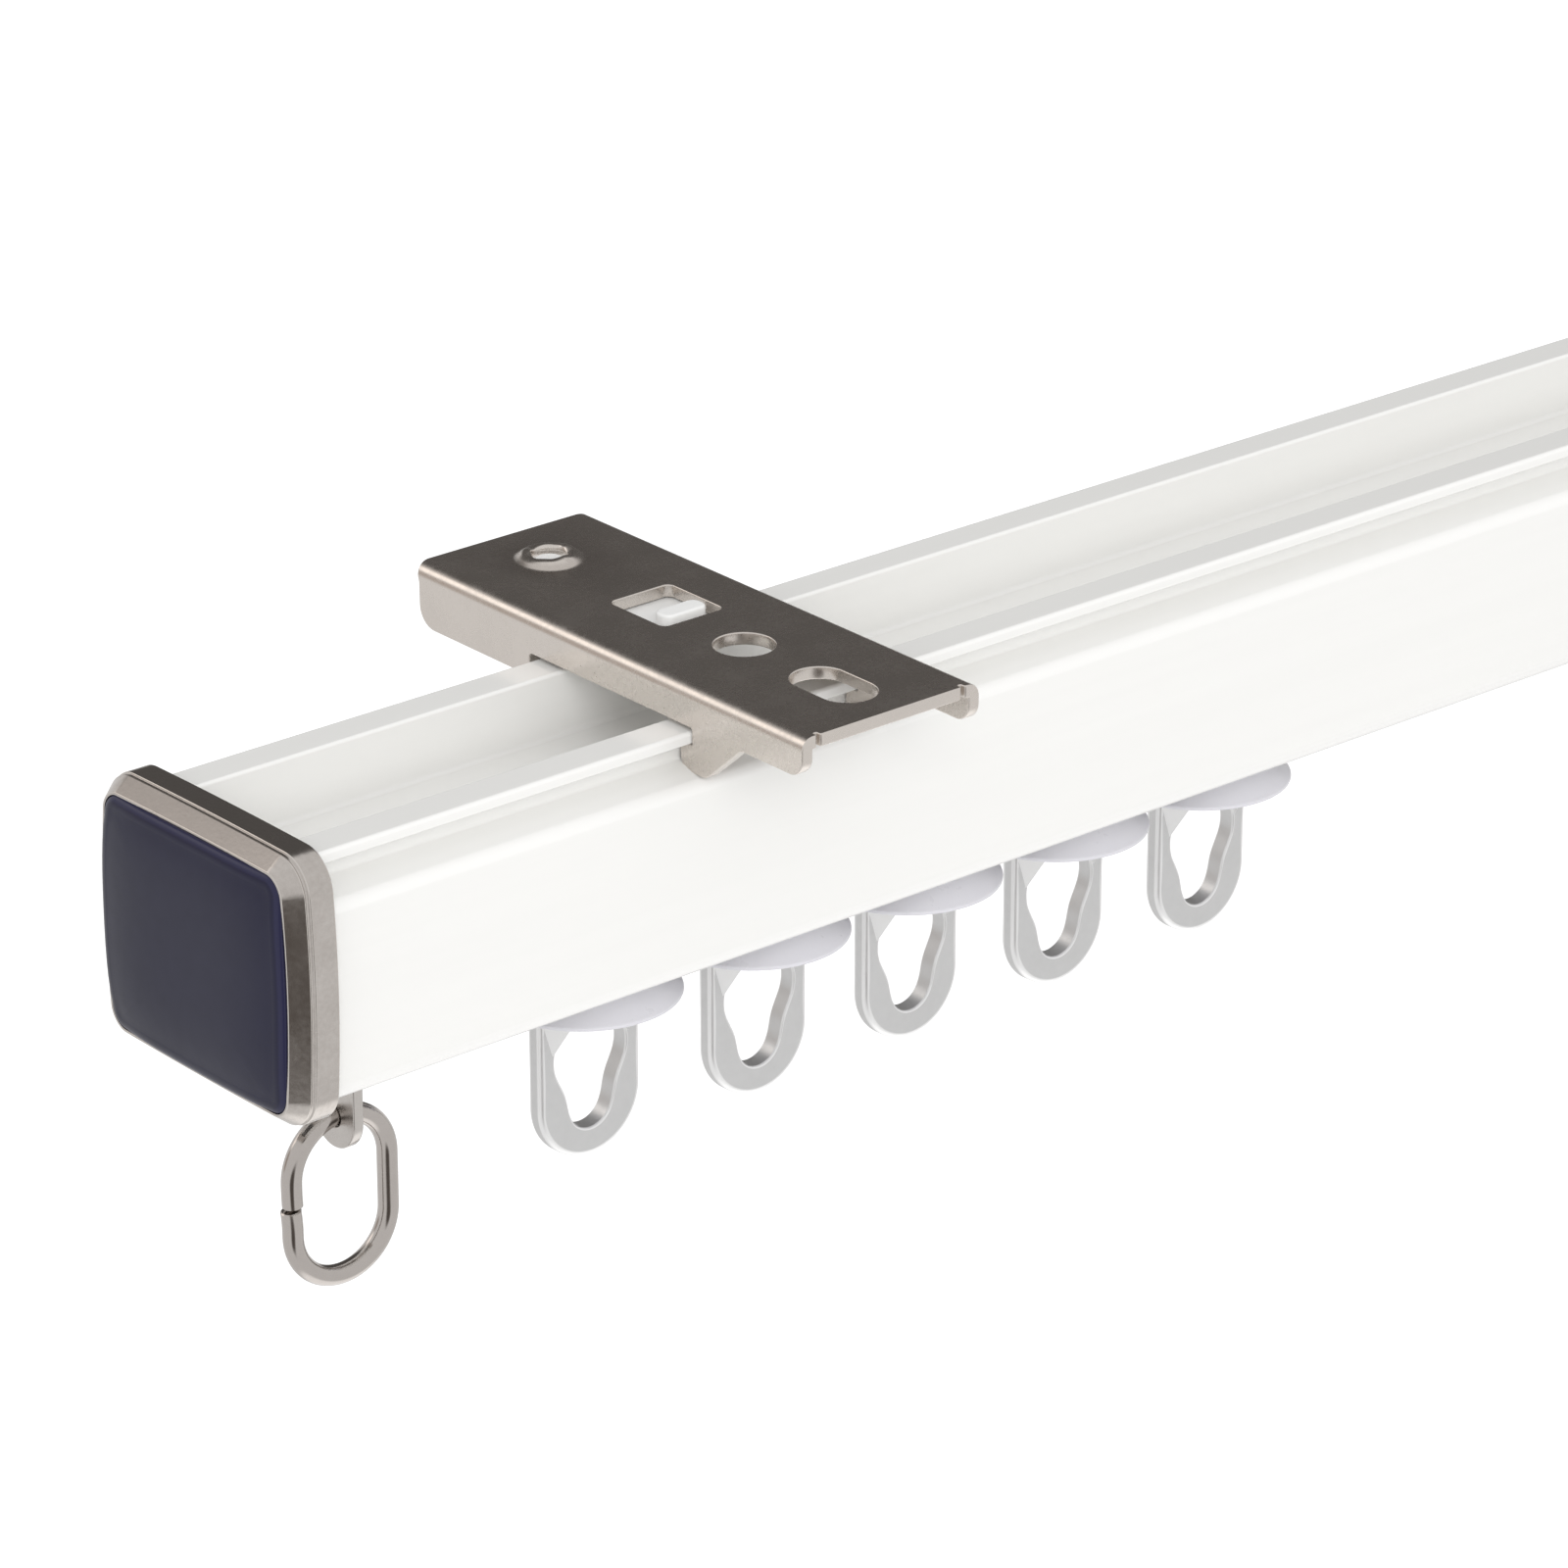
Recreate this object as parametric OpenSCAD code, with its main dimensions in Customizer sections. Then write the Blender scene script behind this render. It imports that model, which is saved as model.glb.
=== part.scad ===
// Functional ceiling curtain rail: a white C-shaped rail held by two sheet-metal
// brackets with sprung locks, with five wheeled curtain runners, an end stop with
// a link ring at each end, and an end cap with a domed face at each end.
// Millimetres. X runs along the rail, +Z is up and -Y is the room side.
// The origin lies in the ceiling plane, midway between the two round screw holes.

/* [Rail] */

// Length of the rail
rail_length = 600; // [600:10:900]
// Width over the side walls
rail_width = 21; // [21:0.1:21.4]
// Depth from the rib tops to the underside
rail_depth = 18.7; // [18:0.1:19.5]
// Width over the two top lips
rib_width = 18; // [18:0.1:18.2]
// Thickness of the top lips
lip_thickness = 0.95; // [0.8:0.05:0.95]
// Width over the webs below the lips
web_width = 15.12; // [14.9:0.02:15.2]
// Height of the ledge at the foot of the web, below the rib tops
ledge_depth = 2.47; // [2.47:0.01:2.6]
// Width of the channel along the top
channel_width = 11.8; // [11:0.1:12]
// Depth of the channel along the top
channel_depth = 5; // [4.6:0.1:5]
// Wall thickness of the rail
rail_wall = 1.2; // [1:0.05:1.2]
// Width of the slot along the underside
slot_width = 6.4; // [6.4:0.1:7]
// Radius of the bottom corners
rail_corner = 1.6; // [1.4:0.1:2]

/* [Brackets] */

// Distance from a rail end to the middle of its bracket
bracket_inset = 42; // [10:1:100]
// Width of a bracket along the rail
bracket_width = 16.6; // [16:0.1:18]
// Sheet thickness of a bracket
sheet = 1; // [0.8:0.1:1.2]
// Height of the ceiling plane above the rib tops
plate_top = 3.4; // [3.4:0.1:3.6]
// Distance from the rail's middle to the round hole, towards the room
hole_back = 5.1; // [4:0.1:6]
// Diameter of the round screw hole
hole_d = 4.6; // [4:0.1:5]
// Width of the slotted screw hole
slotted_w = 4.4; // [4:0.1:4.8]
// Length of the slotted screw hole
slotted_len = 7.4; // [6:0.1:8]
// Travel of the lock
lock_travel = 2.8; // [2.4:0.1:2.9]

/* [Runners] */

// Distance from the left rail end to the first runner
first_runner_inset = 30.8; // [20:0.1:300]
// Distance from the first runner to the second
first_pitch = 16.2; // [15:0.1:100]
// Distance from one of the other runners to the next
runner_pitch = 15.2; // [15:0.1:60]
// Diameter of a runner wheel
wheel_d = 7.76; // [7.4:0.02:7.78]
// Width of a runner wheel
wheel_w = 2.2; // [1.8:0.1:2.4]
// Diameter of the wheel axle
axle_d = 1.5; // [1.3:0.1:1.6]
// Diameter of the umbrella flange under the rail
flange_d = 14.8; // [12:0.1:14.8]
// Diameter of the ring's stem
stem_d = 2.9; // [2.6:0.1:3]
// Width of the curtain ring
ring_w = 9.4; // [9:0.1:9.8]
// Thickness of the curtain ring
ring_t = 1.6; // [1.4:0.1:1.8]

/* [Ends] */

// Overhang of an end cap beside the rail
cap_over_w = 1.5; // [1.3:0.1:1.9]
// Overhang of an end cap above and below the rail
cap_over_h = 1.05; // [0.85:0.05:1.45]
// Corner radius of an end cap
cap_corner = 3; // [2.8:0.1:4.6]
// Distance from the rail's end to the link ring's tab
tab_inset = 8.3; // [8:0.1:9]
// Wire diameter of the link ring
wire_d = 1.55; // [1.3:0.05:1.6]
// Width of the link ring from outside to outside
link_w = 10.1; // [9.6:0.1:10.1]
// Height of the link ring from outside to outside
link_h = 14.3; // [13:0.1:15]

/* [Clearances] */

// Radial clearance of the turning pieces
running = 0.05; // [0.03:0.01:0.1]
// Clearance of sliding pieces on each side
sliding = 0.1; // [0.08:0.01:0.15]
// Clearance around the cap's face
face_gap = 0.02; // [0.02:0.01:0.05]

/* [Hidden] */

$fn = 64;

// The rail, seen in its own section
rib_y = rib_width / 2;
web_y = web_width / 2;
side_y = rail_width / 2;
slot_y = slot_width / 2;
channel_y = channel_width / 2;
cavity_y = side_y - rail_wall;
cavity_top = -channel_depth - rail_wall;
track_z = -rail_depth + rail_wall;
pocket_y = channel_y + rail_wall;
ledge_slope = 0.34;
shoulder_r = 1;
ledge_angle = atan(ledge_slope);
shoulder_y = side_y - shoulder_r;
tangent_y = shoulder_y + shoulder_r * sin(ledge_angle);
tangent_z = -ledge_depth - ledge_slope * (tangent_y - web_y);
shoulder_z = tangent_z - shoulder_r * cos(ledge_angle);
pocket_drop = rail_wall / cos(ledge_angle);
half_rail = rail_length / 2;
over = 1;

// Brackets
bracket_x = half_rail - bracket_inset;
plate_near = -21.3;
plate_far = 23.2;
flange_far = 22.7;
plate_under = plate_top - sheet;
bend_out = 1.3;
bend_in = bend_out - sheet;
slotted_y = -15;
window_x0 = -2.3;
window_x1 = 3.4;
window_y0 = 1.25;
window_y1 = 7.6;
window_r = 0.6;
dimple_x = -0.2;
dimple_y = 17.3;
dimple_r = 2.9;
dimple_top_r = 1.8;
dimple_hole_r = 1.25;
dimple_rise = 0.7;
dimple_sheet = 0.75;
flange_low = -1.5;
flange_corner = 2.7;
seat_gap = 0.33;
back_gap = 0.5;
claw_gap = 0.15;
claw_r = 2.15;
claw_y = -rib_y - 1;
valley_y = -rib_y - 5.5;
valley_z = 0.3;
near_r = 1.4;

// Locks, with the rail's back lip at rib_y
lock_half_w = bracket_width / 2 - sheet - sliding;
lock_top = plate_under - sliding;
lock_under = 0.2;
lock_front = 2;
lock_back = 13.5;
lock_prong_w = 0.9;
lock_prong_end = 17.5;
lock_tab_x = 0.6;
lock_tab_w = 4.9;
lock_tab_y = 2.5;
lock_tab_t = 1.8;
spring_r = 6.33;
spring_t = 0.6;
spring_under = 0.5;
spring_top = 2.1;
spring_button_r = 1.15;
spring_notch_r = 1.7;

// Runners
runner_1_x = first_runner_inset - half_rail;
runner_2_x = runner_1_x + first_pitch;
runner_3_x = runner_2_x + runner_pitch;
runner_4_x = runner_3_x + runner_pitch;
runner_5_x = runner_4_x + runner_pitch;
rolling_gap = 0.02;
axle_z = track_z + wheel_d / 2 + rolling_gap;
wheel_y = 5.6;
axle_end = 7.4;
axle_head_r = 1.3;
axle_head_t = 0.6;
carrier_len = 10.4;
carrier_half_w = 4;
carrier_h = 6.1;
carrier_gap = 0.9;
carrier_bottom = track_z + carrier_gap;
carrier_top = carrier_bottom + carrier_h;
carrier_r = 2;
neck_len = 9;
neck_half_w = 2.6;
flange_gap = 0.65;
flange_slope_h = 2.55;
flange_rim_h = 0.6;
flange_top = -rail_depth - flange_gap;
flange_edge = flange_top - flange_slope_h;
flange_bottom = flange_edge - flange_rim_h;
flange_root_r = 3.6;
flange_wall = 0.8;
hub_r = 2.6;
hub_bottom = flange_bottom - 0.1;
head_window_bottom = carrier_bottom + 0.55;
head_window_top = head_window_bottom + 1.1;
head_window_half_w = 2.3;
head_r = 2.2;
head_t = 0.9;
ring_play = 0.05;
ring_top = hub_bottom - ring_play;
ring_disc_r = 3.2;
ring_disc_t = 0.55;
ring_plate_top = ring_top - 0.25;
ring_end_z = ring_top - 8.35;
gusset_h = 2.5;
eye_top_r = 3.35;
eye_top_z = ring_top - 4.65;
eye_low_r = 1.95;
eye_low_z = ring_top - 8.85;
eye_shoulder = 1;
eye_shoulder_w = 6;
eye_foot_w = 3.8;

// End caps
cap_half_w = side_y + cap_over_w;
cap_half_h = rail_depth / 2 + cap_over_h;
cap_z = -rail_depth / 2 - 0.05;
cap_band = 2.16;
cap_bevel_out = 1.51;
cap_bevel_in = 1.15;
cap_land = 0.1;
cap_wall = cap_bevel_in + cap_land;
face_back = 1.9;
face_front = cap_band + cap_bevel_out;
face_dome = 0.85;
dome_r = 74;
plug_len = 10;
plug_top = cavity_top - sliding;
plug_bottom = -11.9;
plug_half_w = cavity_y - sliding;
plug_wall = 1.4;

// End stops
block_len = 7.5;
block_inset = 4;
block_half_w = 7.5;
block_top = plug_bottom - sliding;
block_bottom = track_z + sliding;
stop_neck_half_w = slot_y - sliding;
stop_neck_bottom = -rail_depth - 0.4;
tab_t = 0.9;
tab_w = 5;
link_r = (link_w - wire_d) / 2;
link_side = link_h - link_w;
link_top_z = -rail_depth - 6.825;
link_gap = 0.2;
link_gap_z = link_top_z - 6.175;
link_running = 0.1;
screw_d = 2.5;
screw_inset = 6;
screw_len = 7;
screw_socket_d = 1.4;

// The rail's own frame, with zero at the rib tops and the rail's middle
module at_rail() {
  translate([0, hole_back, -plate_top]) children();
}

// A drawing in Y and Z drawn out along X, from x0 for the given length
module along_x(x0, length) {
  translate([x0, 0, 0]) rotate([90, 0, 90]) linear_extrude(length) children();
}

// A drawing in X and Z drawn out along Y, from y0 for the given length
module along_y(y0, length) {
  translate([0, y0 + length, 0]) rotate([90, 0, 0]) linear_extrude(length) children();
}

// Flat rectangle from its low and high corners
module area(x0, y0, x1, y1) {
  translate([x0, y0]) square([x1 - x0, y1 - y0]);
}

// Flat rectangle about the origin, with round corners
module round_area(half_w, half_h, r) {
  square([2 * half_w, 2 * (half_h - r)], center = true);
  square([2 * (half_w - r), 2 * half_h], center = true);
  for (sx = [-1, 1], sy = [-1, 1])
    translate([sx * (half_w - r), sy * (half_h - r)]) circle(r);
}

// Box from its low and high corners
module box(low, high) {
  translate(low) cube(high - low);
}

// Rod along X, Y or Z
module rod_x(r, x0, x1) {
  translate([x0, 0, 0]) rotate([0, 90, 0]) cylinder(r = r, h = x1 - x0);
}

module rod_y(r, y0, y1) {
  translate([0, y1, 0]) rotate([90, 0, 0]) cylinder(r = r, h = y1 - y0);
}

module rod_z(r, z0, z1) {
  translate([0, 0, z0]) cylinder(r = r, h = z1 - z0);
}

// One half of the rail's outline, overlapping the middle
module rail_half_outside() {
  polygon([[-over, -channel_depth], [channel_y, -channel_depth], [channel_y, 0],
    [rib_y, 0], [rib_y, -lip_thickness], [web_y, -lip_thickness], [web_y, -ledge_depth],
    [tangent_y, tangent_z], [side_y, shoulder_z], [side_y, rail_corner - rail_depth],
    [side_y - rail_corner, -rail_depth], [-over, -rail_depth]]);
  translate([shoulder_y, shoulder_z]) circle(shoulder_r);
  translate([side_y - rail_corner, rail_corner - rail_depth]) circle(rail_corner);
}

// One half of the track inside, with the pocket under the ledge and the slot
module rail_half_inside() {
  r = rail_corner - rail_wall;
  pocket_z = -ledge_depth - pocket_drop;
  polygon([[-over, cavity_top], [pocket_y, cavity_top],
    [pocket_y, pocket_z + ledge_slope * (web_y - pocket_y)],
    [cavity_y, pocket_z - ledge_slope * (cavity_y - web_y)],
    [cavity_y, track_z + r], [cavity_y - r, track_z], [-over, track_z]]);
  translate([cavity_y - r, track_z + r]) circle(r);
  area(-over, -rail_depth - over, slot_y, track_z + over);
}

// The extruded rail: ribs and channel on top, track inside, slot below
module rail() {
  color("white") at_rail() difference() {
    for (s = [0, 1])
      mirror([0, s, 0]) along_x(-half_rail, rail_length) rail_half_outside();
    for (s = [0, 1])
      mirror([0, s, 0]) along_x(-half_rail - over, rail_length + 2 * over) rail_half_inside();
  }
}

// Places the left end's pieces, or mirrors them to the right end
module at_end(side) {
  at_rail() mirror([side == 1 ? 1 : 0, 0, 0]) translate([-half_rail, 0, 0]) children();
}

// Bevelled front of the cap: a cone on each corner and two wedges between them
module cap_bevel() {
  y = cap_half_w - cap_corner;
  z = cap_half_h - cap_corner;
  for (sy = [-1, 1], sz = [-1, 1])
    translate([-face_front, sy * y, sz * z]) rotate([0, 90, 0])
      cylinder(r1 = cap_corner - cap_bevel_in, r2 = cap_corner, h = cap_bevel_out);
  translate([0, y, 0]) rotate([90, 0, 0]) linear_extrude(2 * y)
    polygon([[-cap_band, -cap_half_h], [-cap_band, cap_half_h],
      [-face_front, cap_half_h - cap_bevel_in], [-face_front, cap_bevel_in - cap_half_h]]);
  translate([0, 0, -z]) linear_extrude(2 * z)
    polygon([[-cap_band, -cap_half_w], [-cap_band, cap_half_w],
      [-face_front, cap_half_w - cap_bevel_in], [-face_front, cap_bevel_in - cap_half_w]]);
}

// Metal frame round the cap's face, with a chamfered front edge
module cap_frame(side) {
  color("silver") at_end(side) translate([0, 0, cap_z]) difference() {
    union() {
      along_x(-cap_band, cap_band) round_area(cap_half_w, cap_half_h, cap_corner);
      cap_bevel();
    }
    along_x(-face_front - over, face_front + 2 * over)
      round_area(cap_half_w - cap_wall, cap_half_h - cap_wall, cap_corner - cap_wall);
  }
}

// Bare face plate, slightly domed
module cap_face(side) {
  color("midnightblue") at_end(side) translate([0, 0, cap_z]) intersection() {
    along_x(-face_front - face_dome, face_front + face_dome - face_back)
      round_area(cap_half_w - cap_wall - face_gap, cap_half_h - cap_wall - face_gap,
        cap_corner - cap_wall - face_gap);
    translate([dome_r - face_front - face_dome, 0, 0]) rotate([0, -90, 0])
      rotate_extrude($fn = 128) intersection() {
        circle(dome_r, $fn = 1024);
        area(0, dome_r / 2, 2 * cap_half_h, dome_r + over);
      }
  }
}

// Moulded base that the frame and the face sit on, with the plug into the rail
module cap_plug(side) {
  color("gainsboro") at_end(side) difference() {
    union() {
      translate([0, 0, cap_z]) along_x(-face_back, face_back)
        round_area(cap_half_w - cap_wall - face_gap, cap_half_h - cap_wall - face_gap,
          cap_corner - cap_wall - face_gap);
      box([-over, -plug_half_w, plug_bottom], [plug_len, plug_half_w, plug_top]);
    }
    for (s = [-1, 1])
      translate([0, s * (plug_half_w + plug_wall / 2) / 2, 0])
        box([plug_wall / 2, -(plug_half_w - 2.5 * plug_wall) / 2, plug_bottom + plug_wall],
          [plug_len + over, (plug_half_w - 2.5 * plug_wall) / 2, plug_top - plug_wall]);
  }
}

// End stop: a block in the track, a neck through the slot and a tab with a hole
module stop_body(side) {
  color("silver") at_end(side) difference() {
    union() {
      box([block_inset, -block_half_w, block_bottom],
        [block_inset + block_len, block_half_w, block_top]);
      box([block_inset, -stop_neck_half_w, stop_neck_bottom],
        [block_inset + block_len, stop_neck_half_w, block_bottom + over]);
      along_x(tab_inset - tab_t / 2, tab_t) {
        area(-tab_w / 2, link_top_z, tab_w / 2, stop_neck_bottom + over);
        translate([0, link_top_z]) circle(tab_w / 2);
      }
    }
    translate([tab_inset, 0, link_top_z]) rod_x(wire_d / 2 + link_running, -tab_t, tab_t);
    translate([screw_inset, 0, 0])
      rod_z(screw_d / 2, stop_neck_bottom - over, block_top + over);
  }
}

// Set screw that clamps the stop between the track and the cap's plug
module stop_screw(side) {
  color("gray") at_end(side) translate([screw_inset, 0, 0]) difference() {
    rod_z(screw_d / 2, plug_bottom - screw_len, plug_bottom);
    rod_z(screw_socket_d / 2, plug_bottom - screw_len - over, plug_bottom - screw_len + 2);
  }
}

// Half a wire circle in X and Z, opening downwards
module half_link() {
  rotate([90, 0, 0]) rotate_extrude(angle = 180)
    translate([link_r, 0]) circle(wire_d / 2, $fn = 32);
}

// Oval wire ring through the tab's hole, butted on its outer side
module stop_ring(side) {
  color("silver") at_end(side) translate([tab_inset, 0, link_top_z - link_r]) difference() {
    union() {
      half_link();
      translate([0, 0, -link_side]) rotate([0, 180, 0]) half_link();
      for (s = [-1, 1])
        translate([s * link_r, 0, 0]) rod_z(wire_d / 2, -link_side, 0);
    }
    box([-link_w, -wire_d, link_gap_z - link_top_z + link_r - link_gap / 2],
      [0, wire_d, link_gap_z - link_top_z + link_r + link_gap / 2]);
  }
}

// Outline of a bracket flange, with the front claw under the rail's lip
module flange_outline() {
  claw_z = -lip_thickness;
  claw_reach = claw_r * cos(45);
  polygon([[plate_far, plate_top], [plate_far, plate_under], [flange_far, plate_under],
    [flange_far, flange_low + flange_corner], [flange_far - flange_corner, flange_low],
    [rib_y + back_gap, flange_low], [rib_y + back_gap, seat_gap],
    [-rib_y - claw_gap, seat_gap], [-rib_y - claw_gap, claw_z], [claw_y, claw_z - claw_r / 2],
    [claw_y - claw_reach, claw_z - claw_reach], [valley_y, valley_z],
    [valley_y - claw_gap, seat_gap], [plate_near + near_r, seat_gap],
    [plate_near, seat_gap + near_r], [plate_near, plate_top]]);
  translate([flange_far - flange_corner, flange_low + flange_corner]) circle(flange_corner);
  translate([plate_near + near_r, seat_gap + near_r]) circle(near_r);
  intersection() {
    translate([claw_y, claw_z]) circle(claw_r);
    area(claw_y - 2 * claw_r, claw_z - 2 * claw_r, claw_y + 2 * claw_r, claw_z);
  }
}

// Bent section of a bracket, seen along Y
module bracket_section() {
  half = bracket_width / 2;
  difference() {
    union() {
      area(-half, -5, half, plate_top - bend_out);
      area(bend_out - half, plate_top - bend_out - over, half - bend_out, plate_top);
      for (s = [-1, 1])
        translate([s * (half - bend_out), plate_top - bend_out]) circle(bend_out);
    }
    area(sheet - half, -5 - over, half - sheet, plate_under - bend_in);
    area(bend_out - half, plate_under - bend_in - over, half - bend_out, plate_under);
    for (s = [-1, 1])
      translate([s * (half - bend_out), plate_top - bend_out]) circle(bend_in);
  }
}

// Screw holes and lock window of a bracket plate, and the hollow under its dimple
module bracket_holes() {
  translate([0, -hole_back, 0]) rod_z(hole_d / 2, 0, plate_top + over);
  translate([0, slotted_y, 0]) {
    for (s = [-1, 1])
      translate([0, s * (slotted_len - slotted_w) / 2, 0])
        rod_z(slotted_w / 2, 0, plate_top + over);
    translate([-slotted_w / 2, (slotted_w - slotted_len) / 2, 0])
      cube([slotted_w, slotted_len - slotted_w, plate_top + over]);
  }
  translate([(window_x0 + window_x1) / 2, (window_y0 + window_y1) / 2, 0])
    linear_extrude(plate_top + over)
      round_area((window_x1 - window_x0) / 2, (window_y1 - window_y0) / 2, window_r);
  translate([dimple_x, dimple_y, 0]) {
    rod_z(dimple_hole_r, 0, plate_top + dimple_rise + over);
    translate([0, 0, plate_top - dimple_sheet]) cylinder(r1 = dimple_r - 0.5,
      r2 = dimple_hole_r, h = dimple_rise);
    rod_z(dimple_r - 0.5, plate_under - over, plate_top - dimple_sheet);
  }
}

// Sheet-metal bracket that carries the rail on its two front claws. The pierced
// dimple at the back bites into the ceiling and keeps the bracket from turning.
module bracket_plate(side) {
  color("dimgray") at_rail() translate([side * bracket_x, 0, 0]) difference() {
    union() {
      intersection() {
        along_y(plate_near, plate_far - plate_near) bracket_section();
        along_x(-bracket_width / 2, bracket_width) flange_outline();
      }
      translate([dimple_x, dimple_y, plate_top])
        cylinder(r1 = dimple_r, r2 = dimple_top_r, h = dimple_rise);
    }
    bracket_holes();
  }
}

// Side view of a lock: bar over the ribs, claw behind the back lip
module lock_outline() {
  hook_z = -lip_thickness - sliding;
  hook_y = rib_y - 1.1;
  polygon([[lock_front, lock_under], [lock_front, lock_top], [lock_back, lock_top],
    [lock_back, lock_under], [rib_y + 3.6, lock_under], [rib_y + 2.6, hook_z - 0.95],
    [rib_y + 0.7, hook_z - 1.9], [hook_y + 0.1, hook_z - 1.4], [hook_y, hook_z],
    [rib_y + claw_gap, hook_z], [rib_y + claw_gap, lock_under]]);
}

// Section of a lock, chamfered to clear the bends of the bracket
module lock_section() {
  polygon([[-lock_half_w, -4], [lock_half_w, -4], [lock_half_w, lock_top - bend_in],
    [lock_half_w - bend_in, lock_top], [bend_in - lock_half_w, lock_top],
    [-lock_half_w, lock_top - bend_in]]);
}

// Sprung lock that slides under a bracket plate and hooks the rail's back lip
module bracket_lock(side) {
  color("white") at_rail() translate([side * bracket_x, 0, 0]) difference() {
    union() {
      intersection() {
        union() {
          along_x(-lock_half_w, 2 * lock_half_w) lock_outline();
          for (s = [0, 1])
            mirror([s, 0, 0]) box([lock_half_w - lock_prong_w, lock_back - over, lock_under],
              [lock_half_w, lock_prong_end, lock_top]);
        }
        along_y(0, lock_prong_end + over) lock_section();
      }
      box([lock_tab_x - lock_tab_w / 2, lock_tab_y, lock_under],
        [lock_tab_x + lock_tab_w / 2, lock_tab_y + lock_tab_t, plate_top]);
    }
    translate([dimple_x, dimple_y - lock_travel, 0])
      rod_z(spring_notch_r, -over, lock_top + over);
  }
}

// Bow spring between the lock and the button held in the plate's dimple
module bracket_spring(side) {
  color("white") at_rail() translate([side * bracket_x + dimple_x, dimple_y, 0]) {
    translate([0, -spring_r, spring_under]) linear_extrude(spring_top - spring_under)
      difference() {
        circle(spring_r + spring_t / 2);
        circle(spring_r - spring_t / 2);
        area(-2 * spring_r, -2 * spring_r, 2 * spring_r, lock_back + spring_r - dimple_y);
      }
    rod_z(spring_button_r, spring_under, plate_top);
  }
}

// Body of a runner: carrier, neck through the slot, umbrella flange and hub
module runner_body(x) {
  color("white") at_rail() translate([x, 0, 0]) difference() {
    union() {
      translate([0, 0, (carrier_top + carrier_bottom) / 2])
        along_y(-carrier_half_w, 2 * carrier_half_w)
          round_area(carrier_len / 2, (carrier_top - carrier_bottom) / 2, carrier_r);
      box([-neck_len / 2, -neck_half_w, flange_top - 0.2],
        [neck_len / 2, neck_half_w, carrier_bottom + over]);
      translate([0, 0, flange_edge])
        cylinder(r1 = flange_d / 2, r2 = flange_root_r, h = flange_top - flange_edge);
      rod_z(flange_d / 2, flange_bottom, flange_edge);
    }
    difference() {
      union() {
        translate([0, 0, flange_edge]) cylinder(r1 = flange_d / 2 - flange_wall,
          r2 = flange_root_r - flange_wall, h = flange_top - flange_edge - flange_wall);
        rod_z(flange_d / 2 - flange_wall, flange_bottom - over, flange_edge);
      }
      rod_z(hub_r, flange_bottom - 2 * over, flange_top);
    }
    rod_z(stem_d / 2 + running, hub_bottom - over, head_window_bottom + 0.1);
    box([-carrier_len, -head_window_half_w, head_window_bottom],
      [carrier_len, head_window_half_w, head_window_top]);
    translate([0, 0, axle_z]) rod_y(axle_d / 2, -carrier_half_w - over, carrier_half_w + over);
  }
}

// Steel axle pressed through the carrier, headed at both ends
module runner_axle(x) {
  color("silver") at_rail() translate([x, 0, axle_z]) {
    rod_y(axle_d / 2, -axle_end, axle_end);
    rod_y(axle_head_r, -axle_end, axle_head_t - axle_end);
    rod_y(axle_head_r, axle_end - axle_head_t, axle_end);
  }
}

// Wheel that rolls on one lip of the track: side -1 is the room side
module runner_wheel(x, side) {
  color("whitesmoke") at_rail() translate([x, side * wheel_y, axle_z]) difference() {
    rod_y(wheel_d / 2, -wheel_w / 2, wheel_w / 2);
    rod_y(axle_d / 2 + running, -wheel_w, wheel_w);
  }
}

// Gusset on each side of the ring's stem: a V seen along Y, a wedge seen along X
module ring_gussets() {
  z1 = ring_top - ring_disc_t;
  z0 = z1 - gusset_h;
  intersection() {
    along_y(-3, 6) for (s = [0, 1])
      mirror([s, 0]) polygon([[2, z1], [3.7, z0], [5.2, z1]]);
    along_x(-6, 12) polygon([[-0.8, z0], [0.8, z0], [2.2, z1], [-2.2, z1]]);
  }
}

// Swivelling curtain ring with a keyhole eye, on a headed stem
module runner_ring(x) {
  r = ring_w / 2;
  color("darkgray") at_rail() translate([x, 0, 0]) {
    rod_z(stem_d / 2, ring_plate_top, head_window_bottom + 0.15);
    rod_z(head_r, head_window_bottom + 0.05, head_window_bottom + 0.05 + head_t);
    rod_z(ring_disc_r, ring_top - ring_disc_t, ring_top);
    along_y(-ring_t / 2, ring_t) difference() {
      union() {
        area(-r, ring_end_z, r, ring_plate_top);
        translate([0, ring_end_z]) circle(r);
      }
      translate([0, eye_top_z]) circle(eye_top_r);
      translate([0, eye_low_z]) circle(eye_low_r);
      polygon([[-eye_shoulder_w / 2, eye_top_z - eye_shoulder],
        [eye_shoulder_w / 2, eye_top_z - eye_shoulder],
        [eye_foot_w / 2, eye_low_z], [-eye_foot_w / 2, eye_low_z]]);
    }
    ring_gussets();
  }
}

rail();
cap_frame(-1);  // left_cap_frame
cap_face(-1);  // left_cap_face
cap_plug(-1);  // left_cap_plug
stop_body(-1);  // left_stop_body
stop_screw(-1);  // left_stop_screw
stop_ring(-1);  // left_stop_ring
cap_frame(1);  // right_cap_frame
cap_face(1);  // right_cap_face
cap_plug(1);  // right_cap_plug
stop_body(1);  // right_stop_body
stop_screw(1);  // right_stop_screw
stop_ring(1);  // right_stop_ring
bracket_plate(-1);  // bracket_1_plate
bracket_lock(-1);  // bracket_1_lock
bracket_spring(-1);  // bracket_1_spring
bracket_plate(1);  // bracket_2_plate
bracket_lock(1);  // bracket_2_lock
bracket_spring(1);  // bracket_2_spring
runner_body(runner_1_x);  // runner_1_body
runner_axle(runner_1_x);  // runner_1_axle
runner_wheel(runner_1_x, -1);  // runner_1_front_wheel
runner_wheel(runner_1_x, 1);  // runner_1_back_wheel
runner_ring(runner_1_x);  // runner_1_ring
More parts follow.
